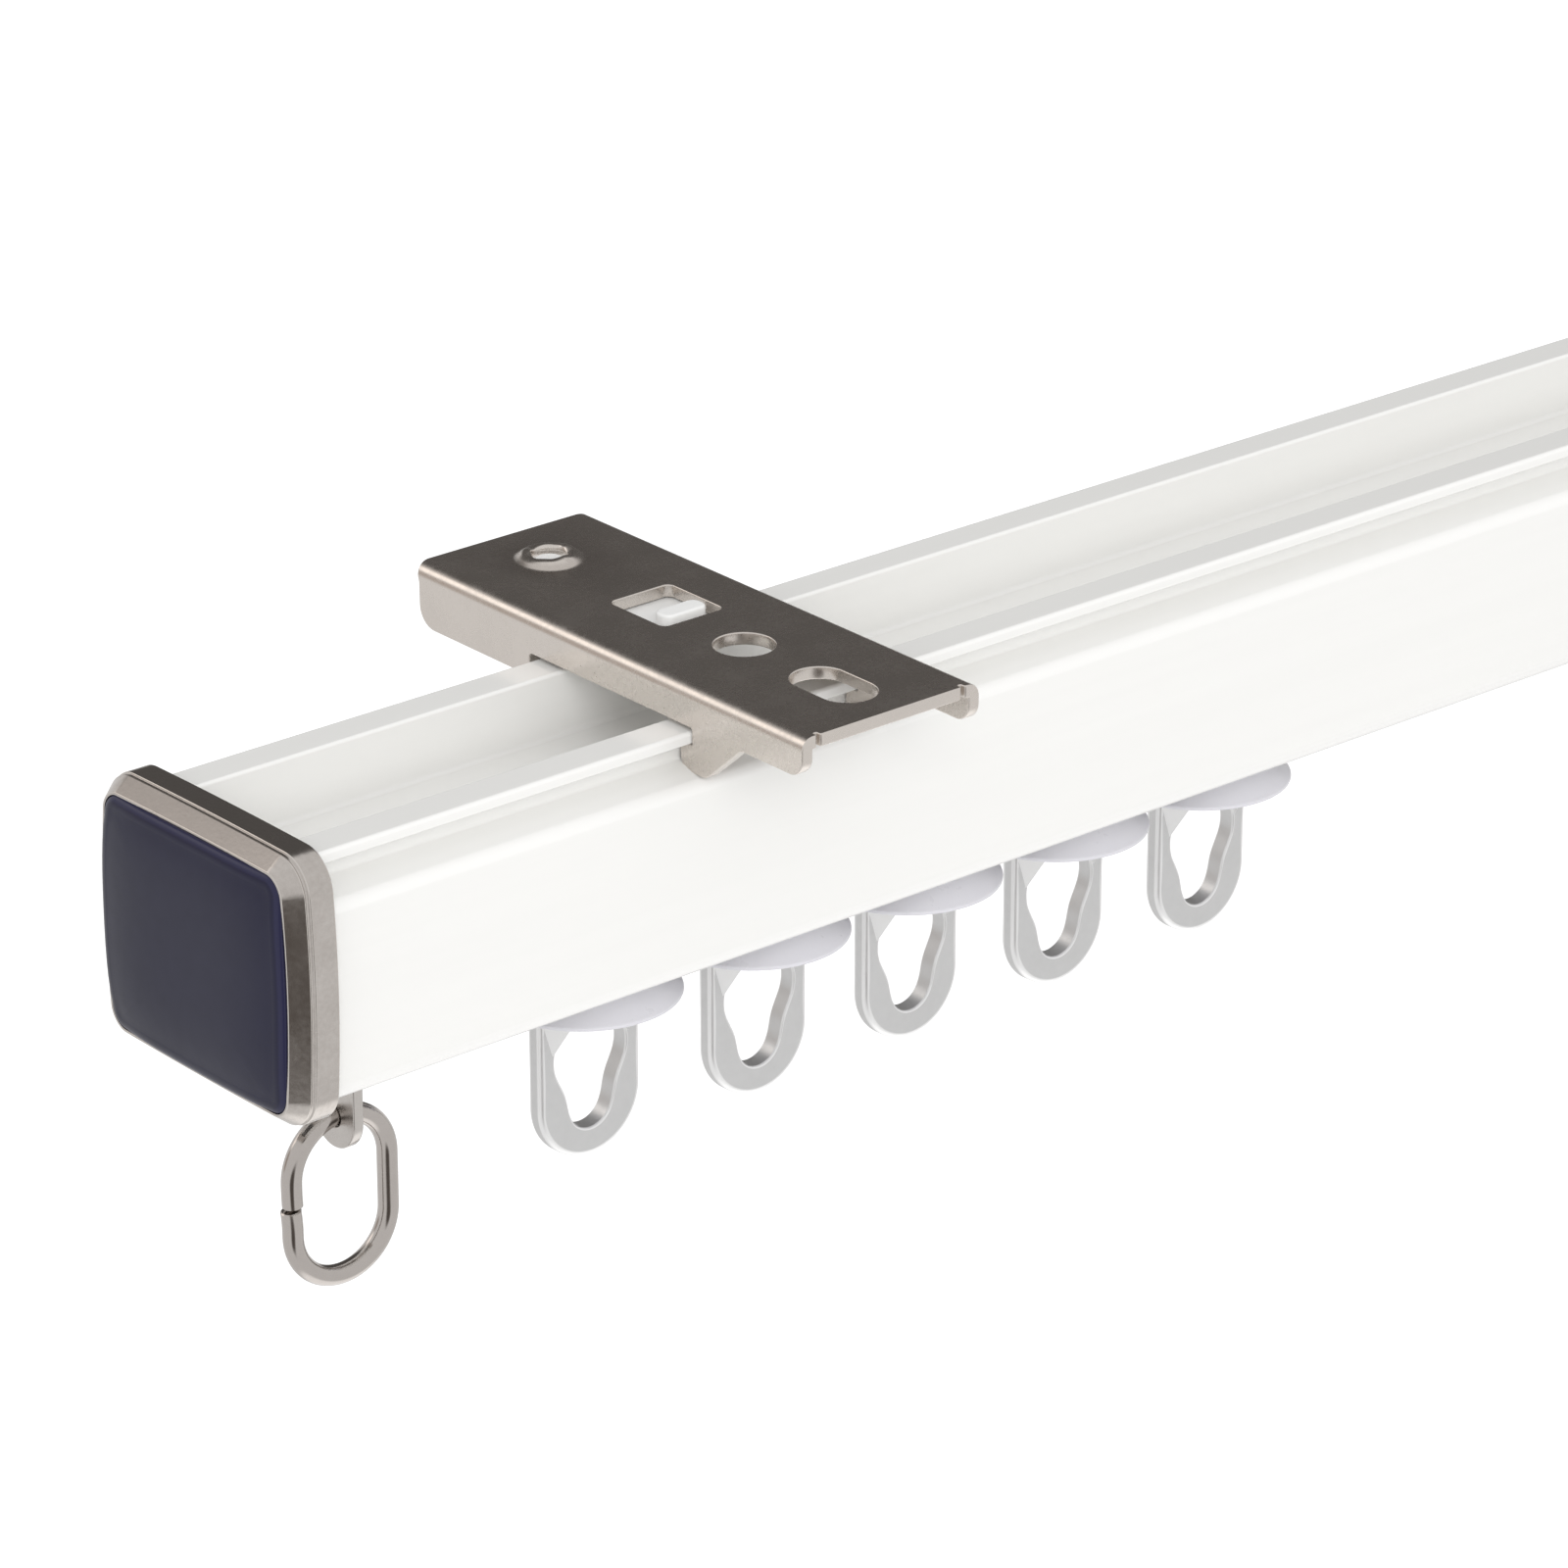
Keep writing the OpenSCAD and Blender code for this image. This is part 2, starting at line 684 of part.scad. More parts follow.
runner_body(runner_2_x);  // runner_2_body
runner_axle(runner_2_x);  // runner_2_axle
runner_wheel(runner_2_x, -1);  // runner_2_front_wheel
runner_wheel(runner_2_x, 1);  // runner_2_back_wheel
runner_ring(runner_2_x);  // runner_2_ring
runner_body(runner_3_x);  // runner_3_body
runner_axle(runner_3_x);  // runner_3_axle
runner_wheel(runner_3_x, -1);  // runner_3_front_wheel
runner_wheel(runner_3_x, 1);  // runner_3_back_wheel
runner_ring(runner_3_x);  // runner_3_ring
runner_body(runner_4_x);  // runner_4_body
runner_axle(runner_4_x);  // runner_4_axle
runner_wheel(runner_4_x, -1);  // runner_4_front_wheel
runner_wheel(runner_4_x, 1);  // runner_4_back_wheel
runner_ring(runner_4_x);  // runner_4_ring
runner_body(runner_5_x);  // runner_5_body
runner_axle(runner_5_x);  // runner_5_axle
runner_wheel(runner_5_x, -1);  // runner_5_front_wheel
runner_wheel(runner_5_x, 1);  // runner_5_back_wheel
runner_ring(runner_5_x);  // runner_5_ring
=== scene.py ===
"""Looks of the ceiling curtain rail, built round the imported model."""
import math

import bmesh
import bpy
import numpy as np
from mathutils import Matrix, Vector
from mathutils.geometry import delaunay_2d_cdt


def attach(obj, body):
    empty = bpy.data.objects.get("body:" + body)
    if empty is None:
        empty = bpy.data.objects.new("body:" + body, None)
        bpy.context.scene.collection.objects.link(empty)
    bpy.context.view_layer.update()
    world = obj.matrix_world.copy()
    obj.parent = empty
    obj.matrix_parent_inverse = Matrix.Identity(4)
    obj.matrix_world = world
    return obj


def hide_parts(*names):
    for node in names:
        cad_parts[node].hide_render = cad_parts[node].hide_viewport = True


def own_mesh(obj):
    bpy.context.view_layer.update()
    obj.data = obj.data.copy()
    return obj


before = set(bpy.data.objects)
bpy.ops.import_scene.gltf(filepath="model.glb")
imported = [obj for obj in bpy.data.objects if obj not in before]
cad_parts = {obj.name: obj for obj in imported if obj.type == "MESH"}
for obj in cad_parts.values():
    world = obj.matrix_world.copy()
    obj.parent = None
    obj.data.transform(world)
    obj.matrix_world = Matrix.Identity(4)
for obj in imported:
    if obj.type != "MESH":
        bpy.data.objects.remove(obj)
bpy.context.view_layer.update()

MM = 0.001
# Shapes below are in millimetres in the rail's own frame, with zero at the rib tops and the
# rail's middle. The part's origin is at the round screw holes, in the ceiling plane.
HOLE_BACK = 5.1
PLATE_TOP = 3.4
HALF_RAIL = 300.0
SIDES = {"left": -1, "right": 1}
BRACKET_X = {1: -258.0, 2: 258.0}
RUNNER_X = {1: -269.2, 2: -253.0, 3: -237.8, 4: -222.6, 5: -207.4}

# Camera, found from the photograph's vanishing points
camera_data = bpy.data.cameras.new("camera")
camera_data.sensor_width = 36.0
camera_data.lens = 156.77
camera_data.clip_start = 0.01
camera = bpy.data.objects.new("camera", camera_data)
bpy.context.scene.collection.objects.link(camera)
camera.location = (-0.5509, -0.3503, 0.1860)
camera.rotation_euler = (math.radians(66.664), 0.0, math.radians(-40.26))
bpy.context.scene.camera = camera


# Mesh making

# Share of a side that a rounded corner may take, least share of it left free beside a held
# point, and least turn of a corner in radians
CORNER_SHARE = 0.49
FREE_SHARE = 0.02
LEAST_TURN = 0.02
# Angles up to which faces merge into one, in a new piece and in a CAD node
PIECE_FLAT = math.radians(0.2)
CAD_FLAT = math.radians(0.5)
# Angles over which edges count as rounded and get the painted edge shading, as sharp in a CAD
# node, and as sharp when shaded
PAINTED_EDGE_ANGLE = math.radians(8.0)
CAD_SHARP = math.radians(25.0)
PIECE_SHARP = math.radians(32.0)
ROUNDED_SHARP = math.radians(40.0)


def unit(v):
    """Vector of length one in the same direction"""
    v = np.asarray(v, float)
    return v / np.linalg.norm(v)


def circle(count, way=1):
    """Points of a circle of radius one, clockwise where way is -1"""
    turn = np.linspace(0, way * 2 * math.pi, count, endpoint=False)
    return np.stack([np.cos(turn), np.sin(turn)], -1)


def soft_path(corners, step=15.0, hold=0.06):
    """Closed outline through corners (a, b, r), each an arc of radius r.

    The arc starts and ends r * tan(turn / 2) from the corner, and r gets smaller where a
    side is too short for that. A point follows each end at the distance hold, so that the
    flats between the arcs shade flat.
    """
    middles = np.array([c[:2] for c in corners], float)
    out = []
    for i, p in enumerate(middles):
        r = corners[i][2]
        back, ahead = middles[i - 1] - p, middles[(i + 1) % len(middles)] - p
        room = CORNER_SHARE * min(np.linalg.norm(back), np.linalg.norm(ahead))
        u, v = unit(back), unit(ahead)
        turn = math.pi - math.acos(np.clip(u @ v, -1, 1))
        if r <= 0 or turn < LEAST_TURN:
            out.append(p)
            continue
        cut = min(r * math.tan(turn / 2), room)
        r = cut / math.tan(turn / 2)
        centre = p + unit(u + v) * math.hypot(cut, r)
        start, end = p + u * cut - centre, p + v * cut - centre
        first = math.atan2(start[1], start[0])
        sweep = (math.atan2(end[1], end[0]) - first + math.pi) % (2 * math.pi) - math.pi
        count = max(2, math.ceil(math.degrees(abs(sweep)) / step) + 1)
        held = cut + hold < (1 - FREE_SHARE) * room
        if held:
            out.append(p + u * (cut + hold))
        for a in first + np.linspace(0, sweep, count):
            out.append(centre + r * np.array([math.cos(a), math.sin(a)]))
        if held:
            out.append(p + v * (cut + hold))
    return np.array(out)


def skin(grid, closed=False):
    """Points and faces of a grid[row, point] of points, in which each row is a closed loop.

    In a closed grid the last row joins the first. Otherwise a flat face shuts each end.
    """
    rows, cols = grid.shape[:2]
    i = np.arange(rows if closed else rows - 1)[:, None]
    j = np.arange(cols)
    k, m = (i + 1) % rows, (j + 1) % cols
    faces = np.stack([i * cols + j, i * cols + m, k * cols + m, k * cols + j], -1)
    faces = faces.reshape(-1, 4).tolist()
    if not closed:
        faces += [list(range(cols))[::-1], list(range((rows - 1) * cols, rows * cols))]
    return grid.reshape(-1, 3), faces


def lathe(profile, x, y, count=40, closed=False):
    """Points and faces of a profile (r, z) turned about the upright line at x, y.

    A closed profile gives a hollow ring. An open one is shut at its two ends.
    """
    r, z = np.array(profile, float).T[:, :, None]
    cos, sin = circle(count).T
    return skin(np.stack([x + r * cos, y + r * sin, z + 0 * cos], -1), closed)


def add_shell(bm, points, faces):
    """Adds a closed shell to a mesh, moved from the rail's frame to the part's"""
    points = (np.asarray(points) + (0.0, HOLE_BACK, -PLATE_TOP)) * MM
    verts = [bm.verts.new(p) for p in points]
    for f in faces:
        bm.faces.new([verts[k] for k in f])


def rail_point(vertex):
    """A vertex's place in millimetres in the rail's frame"""
    x, y, z = vertex.co / MM
    return x, y - HOLE_BACK, z + PLATE_TOP


def mark_edges(bm):
    """Writes the attribute edge: 1 on rounded outer edges, 0 on flats and hollows. The
    materials paint light along these edges: a painted highlight, and a painted shade line where
    their edge colour is darker.
    """
    layer = bm.verts.layers.float.new("edge")
    for v in bm.verts:
        angles = [e.calc_face_angle_signed(0.0) for e in v.link_edges if len(e.link_faces) == 2]
        v[layer] = 1.0 if angles and max(angles) > PAINTED_EDGE_ANGLE else 0.0


def piece(name, shells, material, body, replaced=(), merge=False):
    """One object of closed shells, riding on a body in place of CAD nodes.

    With merge, faces in one plane become one, so that their corners shade flat.
    """
    bm = bmesh.new()
    for points, faces in shells:
        add_shell(bm, points, faces)
    bmesh.ops.recalc_face_normals(bm, faces=bm.faces)
    if merge:
        bm.normal_update()
        bmesh.ops.dissolve_limit(bm, angle_limit=PIECE_FLAT, verts=bm.verts, edges=bm.edges)
    return finish_piece(name, bm, material, body, replaced, PIECE_SHARP)


def rounded(node, material, width, body, shape=None):
    """A CAD node, changed by shape(bm) if given, with its sharp edges rounded"""
    bm = bmesh.new()
    bm.from_mesh(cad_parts[node].data)
    bmesh.ops.remove_doubles(bm, verts=bm.verts, dist=2e-6)
    bmesh.ops.dissolve_limit(bm, angle_limit=CAD_FLAT, verts=bm.verts, edges=bm.edges)
    if shape:
        shape(bm)
    sharp = [e for e in bm.edges if len(e.link_faces) == 2 and e.calc_face_angle() > CAD_SHARP]
    bmesh.ops.bevel(bm, geom=sharp, offset=width * MM, offset_type="OFFSET", segments=2,
                    profile=0.5, affect="EDGES", clamp_overlap=False)
    finish_piece(node + "_smooth", bm, material, body, [node], ROUNDED_SHARP)


def finish_piece(name, bm, material, body, replaced, sharp):
    """Turns an edited mesh into an object that rides on a body"""
    bm.normal_update()
    mark_edges(bm)
    mesh = bpy.data.meshes.new(name)
    bm.to_mesh(mesh)
    bm.free()
    mesh.polygons.foreach_set("use_smooth", [True] * len(mesh.polygons))
    mesh.set_sharp_from_angle(angle=sharp)
    mesh.materials.append(material)
    obj = bpy.data.objects.new(name, mesh)
    bpy.context.scene.collection.objects.link(obj)
    flats = obj.modifiers.new("flats", "WEIGHTED_NORMAL")
    flats.keep_sharp = True
    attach(obj, body)
    if replaced:
        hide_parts(*replaced)
    return obj


# Materials

def add_node(tree, kind, inputs=None, **settings):
    """Outputs of a new node, with its settings made and its inputs linked or set"""
    node = tree.nodes.new(kind)
    for key, value in settings.items():
        setattr(node, key, value)
    for key, value in (inputs or {}).items():
        if isinstance(value, bpy.types.NodeSocket):
            tree.links.new(value, node.inputs[key])
        else:
            node.inputs[key].default_value = value
    return node.outputs


def reckon(tree, operation, *values):
    """Result of a maths node"""
    return add_node(tree, "ShaderNodeMath", dict(enumerate(values)), operation=operation)[0]


def blend(tree, share, first, second):
    """Colour that goes from the first to the second with the share"""
    return add_node(tree, "ShaderNodeMix", {"Factor": share, 6: first, 7: second},
                    data_type="RGBA")[2]


# Inputs of the shared grain: name, kind and value where none is given
GRAIN_INPUTS = (("Stretch", "Vector", (1, 1, 1)),
                ("Scale", "Float", 1000.0),
                ("Base", "Color", (0.8, 0.8, 0.8, 1)),
                ("Mottle", "Color", (0.7, 0.7, 0.7, 1)),
                ("Edge", "Color", (0.9, 0.9, 0.9, 1)),
                ("Edge amount", "Float", 0.5),
                ("Smoothest", "Float", 0.2),
                ("Roughest", "Float", 0.4),
                ("Bump", "Float", 0.1))
GRAIN_OUTPUTS = (("Color", "Color"), ("Roughness", "Float"), ("Normal", "Vector"))
# Scale of the broad mottling as a share of the fine grain's, and depth of a bump in metres
BROAD_SHARE = 0.12
BUMP_DEPTH = 0.00002


def grain_group():
    """Shared surface grain: even mottling, fine bumps, and painted light on rounded edges: a
    painted highlight where the Edge colour is lighter than the base, a painted shade line where
    it is darker
    """
    group = bpy.data.node_groups.new("surface_grain", "ShaderNodeTree")
    new_socket = group.interface.new_socket
    for name, kind, value in GRAIN_INPUTS:
        new_socket(name, in_out="INPUT", socket_type="NodeSocket" + kind).default_value = value
    for name, kind in GRAIN_OUTPUTS:
        new_socket(name, in_out="OUTPUT", socket_type="NodeSocket" + kind)

    given = add_node(group, "NodeGroupInput")
    place = add_node(group, "ShaderNodeTexCoord")["Object"]
    place = add_node(group, "ShaderNodeVectorMath", {0: place, 1: given["Stretch"]},
                     operation="MULTIPLY")[0]
    fine = add_node(group, "ShaderNodeTexNoise",
                    {"Vector": place, "Scale": given["Scale"], "Detail": 3.0})["Fac"]
    broad_scale = reckon(group, "MULTIPLY", given["Scale"], BROAD_SHARE)
    broad = add_node(group, "ShaderNodeTexNoise",
                     {"Vector": place, "Scale": broad_scale, "Detail": 2.0})["Fac"]
    mean = reckon(group, "MULTIPLY_ADD", fine, 0.5, reckon(group, "MULTIPLY", broad, 0.5))
    spread = add_node(group, "ShaderNodeMapRange",
                      {"Value": mean, "From Min": 0.3, "From Max": 0.7})["Result"]

    rough = add_node(group, "ShaderNodeMapRange",
                     {"Value": spread, "To Min": given["Smoothest"],
                      "To Max": given["Roughest"]})["Result"]
    # Painted light on rounded edges: the Edge colour paints a highlight, and a shade line in
    # materials where it is darker than the base
    painted_edge_shading = add_node(group, "ShaderNodeAttribute", attribute_name="edge")["Fac"]
    painted_edge_shading = reckon(group, "MULTIPLY", painted_edge_shading, given["Edge amount"])
    colour = blend(group, spread, given["Base"], given["Mottle"])
    colour = blend(group, painted_edge_shading, colour, given["Edge"])
    bump = add_node(group, "ShaderNodeBump",
                    {"Distance": BUMP_DEPTH, "Strength": given["Bump"], "Height": fine})
    add_node(group, "NodeGroupOutput",
             {"Color": colour, "Roughness": rough, "Normal": bump["Normal"]})
    return group


GRAIN = grain_group()


def material(name, base, mottle, edge, rough, scale=1500.0, stretch=(1, 1, 1), bump=0.1,
             edge_amount=0.5, **own):
    """Principled material over the shared grain, with its own constants"""
    mat = bpy.data.materials.new(name)
    mat.use_nodes = True
    tree = mat.node_tree
    shader = tree.nodes["Principled BSDF"]
    grain = add_node(tree, "ShaderNodeGroup",
                     {"Stretch": stretch, "Scale": scale, "Base": (*base, 1),
                      "Mottle": (*mottle, 1), "Edge": (*edge, 1), "Edge amount": edge_amount,
                      "Smoothest": rough[0], "Roughest": rough[1], "Bump": bump},
                     node_tree=GRAIN)
    tree.links.new(grain["Color"], shader.inputs["Base Color"])
    tree.links.new(grain["Roughness"], shader.inputs["Roughness"])
    tree.links.new(grain["Normal"], shader.inputs["Normal"])
    for key, value in own.items():
        shader.inputs[key.replace("_", " ")].default_value = value
    return mat


# The third colour of each material is painted on rounded edges: a painted highlight in all of
# them, except runner_white, where it is a darker painted shade line along the rims
RAIL = material("rail_white", (0.87, 0.865, 0.845), (0.85, 0.845, 0.825), (0.91, 0.905, 0.89),
                (0.16, 0.26), scale=900.0, stretch=(0.03, 1, 1), bump=0.08,
                Coat_Weight=0.3, Coat_Roughness=0.08)
NICKEL = material("cap_nickel", (0.60, 0.565, 0.535), (0.51, 0.475, 0.445), (0.74, 0.70, 0.66),
                  (0.14, 0.28), scale=2600.0, bump=0.25, Metallic=1.0)
NAVY = material("cap_navy", (0.004, 0.004, 0.028), (0.002, 0.002, 0.024), (0.026, 0.026, 0.072),
                (0.28, 0.36), scale=700.0, bump=0.05, Specular_IOR_Level=0.36)
BASE = material("cap_base", (0.72, 0.72, 0.71), (0.68, 0.68, 0.67), (0.78, 0.78, 0.77),
                (0.4, 0.55), scale=1200.0, bump=0.2)
ZINC = material("stop_steel", (0.50, 0.47, 0.45), (0.42, 0.39, 0.37), (0.70, 0.67, 0.64),
                (0.18, 0.30), scale=2200.0, bump=0.15, Metallic=1.0)
SCREW = material("set_screw", (0.30, 0.30, 0.31), (0.24, 0.24, 0.25), (0.5, 0.5, 0.5),
                 (0.25, 0.4), scale=2500.0, bump=0.2, Metallic=1.0)
LINK = material("link_nickel", (0.52, 0.485, 0.46), (0.46, 0.425, 0.40), (0.54, 0.505, 0.48),
                (0.08, 0.18), scale=1600.0, Metallic=1.0)
SHEET = material("bracket_steel", (0.61, 0.56, 0.52), (0.555, 0.51, 0.475), (0.80, 0.75, 0.70),
                 (0.20, 0.34), scale=2400.0, bump=0.16, Metallic=1.0)
ACETAL = material("lock_white", (0.88, 0.88, 0.87), (0.85, 0.85, 0.84), (0.92, 0.92, 0.91),
                  (0.25, 0.38), scale=1400.0)
# Its edge colour is a painted shade: a dark line along the flange's rim
RUNNER = material("runner_white", (0.90, 0.895, 0.925), (0.88, 0.875, 0.91),
                  (0.50, 0.49, 0.54), (0.26, 0.34), scale=1400.0, bump=0.004)
AXLE = material("axle_steel", (0.62, 0.61, 0.60), (0.55, 0.54, 0.53), (0.7, 0.7, 0.7),
                (0.15, 0.28), scale=2400.0, stretch=(1, 0.1, 1), bump=0.15, Metallic=1.0)
RING = material("ring_grey", (0.65, 0.65, 0.65), (0.62, 0.62, 0.62), (0.92, 0.92, 0.92),
                (0.30, 0.42), bump=0.12, edge_amount=0.8, Metallic=0.8)


# Rail

# Half of the section, from the channel's floor round the outside and back inside: Y, Z and
# corner radius
RAIL_HALF = [(5.9, -5.0, 0.35), (5.9, 0.0, 0.25), (9.0, 0.0, 0.3), (9.0, -0.95, 0.2),
             (7.56, -0.95, 0.12), (7.56, -2.47, 0.25), (10.5, -3.4696, 1.0),
             (10.5, -18.7, 1.6), (3.2, -18.7, 0.25), (3.2, -17.5, 0.25), (9.3, -17.5, 0.4),
             (9.3, -4.329, 0.25), (7.1, -3.58, 0.25), (7.1, -6.2, 0.35)]
RAIL_END_HOLD = 0.1


def make_rail():
    """The section in Y and Z, drawn along X with its ends held flat"""
    other = [(-y, z, r) for y, z, r in reversed(RAIL_HALF)]
    section = soft_path(RAIL_HALF + other, step=9.0)
    xs = np.concatenate([[-HALF_RAIL, RAIL_END_HOLD - HALF_RAIL], np.linspace(-290, 290, 59),
                         [HALF_RAIL - RAIL_END_HOLD, HALF_RAIL]])
    grid = np.empty((len(xs), len(section), 3))
    grid[:, :, 0] = xs[:, None]
    grid[:, :, 1:] = section
    piece("rail_smooth", [skin(grid)], RAIL, "rail_body", ["rail"])


# End caps

CAP_Z = -9.4
CAP_HALF = np.array([12.0, 10.4])
CAP_CORNER = 2.7
CAP_BOW = np.array([0.05, 0.012])
# The frame's section: depth outwards from the rail's end, inset from the outline, radius
CAP_SECTION = [(0.0, 1.26, 0.04), (0.0, 0.0, 0.12), (2.02, 0.0, 0.1), (2.1, 0.16, 0.04),
               (2.26, 0.18, 0.04), (2.36, 0.1, 0.1), (3.62, 1.08, 0.1), (3.62, 1.27, 0.03)]
FACE_INSET = 1.28
FACE_BACK, FACE_FRONT = 1.9, 4.5
FACE_EDGE_W, FACE_EDGE_H = 1.0, 0.5
FACE_FALL = 0.36


def cap_outline(inset):
    """Rounded rectangle with bowed sides, from its half sizes less an inset.

    A side is straight points and a corner an arc of radius CAP_CORNER - inset. Then each
    coordinate shrinks by its CAP_BOW times the square of the other one's share.
    """
    r = max(CAP_CORNER - inset, 0.2)
    core = CAP_HALF - inset - r
    turn = np.linspace(0, math.pi / 2, 17)
    corner = r * np.stack([np.cos(turn), np.sin(turn)], -1) + core
    side = np.linspace(corner[-1], corner[-1] * (-1, 1), 14)[1:-1]
    wall = np.linspace(corner[0] * (1, -1), corner[0], 14)[1:-1]
    half = np.concatenate([wall, corner, side, corner[::-1] * (-1, 1)])
    points = np.concatenate([half, -half])
    share = (points / (CAP_HALF - inset))[:, ::-1] ** 2
    return points * (1 - CAP_BOW * share) + (0.0, CAP_Z)


def at_cap(side, depth, outline):
    """Outline points set at a depth outwards from the rail's end"""
    points = np.empty((len(outline), 3))
    points[:, 0] = side * (HALF_RAIL + depth)
    points[:, 1:] = outline
    return points


def face_fall(outline):
    """Drop of the face from its middle: FACE_FALL * ((y / a)^4 + (z / b)^4)"""
    share = (outline - (0.0, CAP_Z)) / (CAP_HALF - FACE_INSET - FACE_EDGE_W)
    return FACE_FALL * (share ** 4).sum(1)


def face_rings(side):
    """Rings of the pillow face: its back, a quarter ellipse round its edge, its front"""
    flat = cap_outline(FACE_INSET + FACE_EDGE_W)
    rings = [at_cap(side, FACE_BACK, cap_outline(FACE_INSET))]
    for turn in np.radians(np.arange(0, 85, 12)):
        drop = face_fall(flat) + FACE_EDGE_H * (1 - math.sin(turn))
        inset = FACE_INSET + FACE_EDGE_W - FACE_EDGE_W * math.cos(turn)
        rings.append(at_cap(side, FACE_FRONT - drop, cap_outline(inset)))
    for share in np.linspace(1, 0.04, 18):
        shrunk = flat * share + (0.0, CAP_Z * (1 - share))
        rings.append(at_cap(side, FACE_FRONT - face_fall(shrunk), shrunk))
    return np.array(rings)


def make_cap(name, side):
    """Frame: a small grooved section carried round the outline. Face: a pillow of rings"""
    section = soft_path(CAP_SECTION, step=12.0)
    grid = np.array([at_cap(side, depth, cap_outline(inset)) for depth, inset in section])
    piece(name + "_cap_frame_smooth", [skin(grid, closed=True)], NICKEL, "rail_body",
          [name + "_cap_frame"])
    piece(name + "_cap_face_smooth", [skin(face_rings(side))], NAVY, "rail_body",
          [name + "_cap_face"])
    rounded(name + "_cap_plug", BASE, 0.08, "rail_body")


# End stops and link rings

TAB_X = 291.7
WIRE_R = 0.775
WIRE_CHAMFER_R, WIRE_CHAMFER_LEN = 0.1, 0.08
LINK_R = 4.275
LINK_TOP, LINK_LOW = -29.8, -34.0
LINK_GAP, LINK_GAP_Z = 0.2, -31.7
# Sideways offsets of the wire's two ends, and the points over which each grows
LOWER_END_OUT, UPPER_END_IN = 0.14, 0.05
END_COUNT = 8


def link_path():
    """Stadium in X and Z, from one butted end round to the other, with the ends offset"""
    turn = np.radians(np.linspace(0, 180, 40))
    bend = LINK_R * np.stack([np.cos(turn), np.sin(turn)], -1)
    lower_z = np.linspace(LINK_GAP_Z - LINK_GAP / 2, LINK_LOW, END_COUNT, endpoint=False)
    upper_z = np.linspace(LINK_TOP, LINK_GAP_Z + LINK_GAP / 2, END_COUNT + 1)[1:]
    inner_z = np.linspace(LINK_LOW, LINK_TOP, 9)[1:-1]
    path = np.concatenate([np.stack([np.full(END_COUNT, -LINK_R), lower_z], -1),
                           (0.0, LINK_LOW) - bend,
                           np.stack([np.full(len(inner_z), LINK_R), inner_z], -1),
                           bend + (0.0, LINK_TOP),
                           np.stack([np.full(END_COUNT, -LINK_R), upper_z], -1)])
    growth = np.linspace(0, 1, END_COUNT) ** 2
    path[:END_COUNT, 0] -= LOWER_END_OUT * growth[::-1]
    path[-END_COUNT:, 0] += UPPER_END_IN * growth
    return path


def make_link(name, side):
    """Round wire along the link's path, with its ends chamfered"""
    path = link_path()
    along = np.gradient(path, axis=0)
    along /= np.linalg.norm(along, axis=1)[:, None]
    out = np.stack([-along[:, 1], along[:, 0]], -1)
    path = np.concatenate([path[:1], path[:1] + WIRE_CHAMFER_LEN * along[:1], path[1:-1],
                           path[-1:] - WIRE_CHAMFER_LEN * along[-1:], path[-1:]])
    out = np.concatenate([out[:1], out, out[-1:]])
    radius = np.full((len(path), 1), WIRE_R)
    radius[[0, -1]] -= WIRE_CHAMFER_R
    cos, sin = circle(28).T
    x = path[:, :1] + radius * cos * out[:, :1]
    z = path[:, 1:] + radius * cos * out[:, 1:]
    grid = np.stack([side * (TAB_X - x), radius * sin, z], -1)
    piece(name + "_link_smooth", [skin(grid)], LINK, name + "_link",
          [name + "_stop_ring"])


def make_stop(name, side):
    """The stop's block and tab, its screw and its link ring"""
    rounded(name + "_stop_body", ZINC, 0.12, "rail_body")
    rounded(name + "_stop_screw", SCREW, 0.08, "rail_body")
    make_link(name, side)


# Brackets

PLATE_HALF = 8.3
SHEET_T = 1.0
# The bend's outer radius, its start in the pattern, the radius of its middle and its length
BEND_OUT = 1.06
BEND_START = PLATE_HALF - BEND_OUT
BEND_MID = BEND_OUT - SHEET_T / 2
BEND_LEN = BEND_MID * math.pi / 2
BEND_HOLD = 0.08
EDGE_R = 0.11
HOLE_R = 2.3
# The slotted hole's end radius, half the distance between its ends' middles, and its place
SLOT_R, SLOT_HALF, SLOT_Y = 2.2, 1.5, -15.0
# Corners of the window: X, Y and radius
WINDOW = [(-2.3, 1.25, 0.6), (-2.3, 7.6, 0.6), (3.4, 7.6, 0.6), (3.4, 1.25, 0.6)]
HOLE_COUNT = 48
DIMPLE = (-0.2, 17.3)
DIMPLE_R = 2.9
# The dimple's wall, up over its torn collar and back under the sheet: radius, height and
# share of the tear
DIMPLE_WALL = [(2.75, 3.42, 0), (2.6, 3.5, 0), (2.35, 3.68, 0), (2.1, 3.9, 0.2),
               (1.95, 4.02, 0.6), (1.75, 4.1, 1), (1.55, 4.1, 1), (1.4, 4.0, 0.9),
               (1.32, 3.8, 0.4), (1.3, 3.45, 0), (1.4, 3.2, 0), (1.75, 3.0, 0),
               (2.1, 2.75, 0), (2.45, 2.5, 0), (2.7, 2.41, 0)]


def fold(flat, depth):
    """Pattern points (u, y) at a depth in the sheet, bent to the bracket's U section.

    Up to BEND_START the sheet is level. Then it turns down about an axis BEND_OUT below
    its top, at the angle (|u| - BEND_START) / BEND_MID, and past a right angle it hangs.
    """
    u, y = flat[:, 0], flat[:, 1]
    past = np.abs(u) - BEND_START
    angle = np.clip(past / BEND_MID, 0, math.pi / 2)
    r = BEND_OUT - depth
    x = np.where(past < 0, np.abs(u), BEND_START + r * np.sin(angle))
    z = PLATE_TOP - BEND_OUT + r * np.cos(angle) - np.maximum(past - BEND_LEN, 0)
    return np.stack([np.sign(u) * x, y, z], -1)


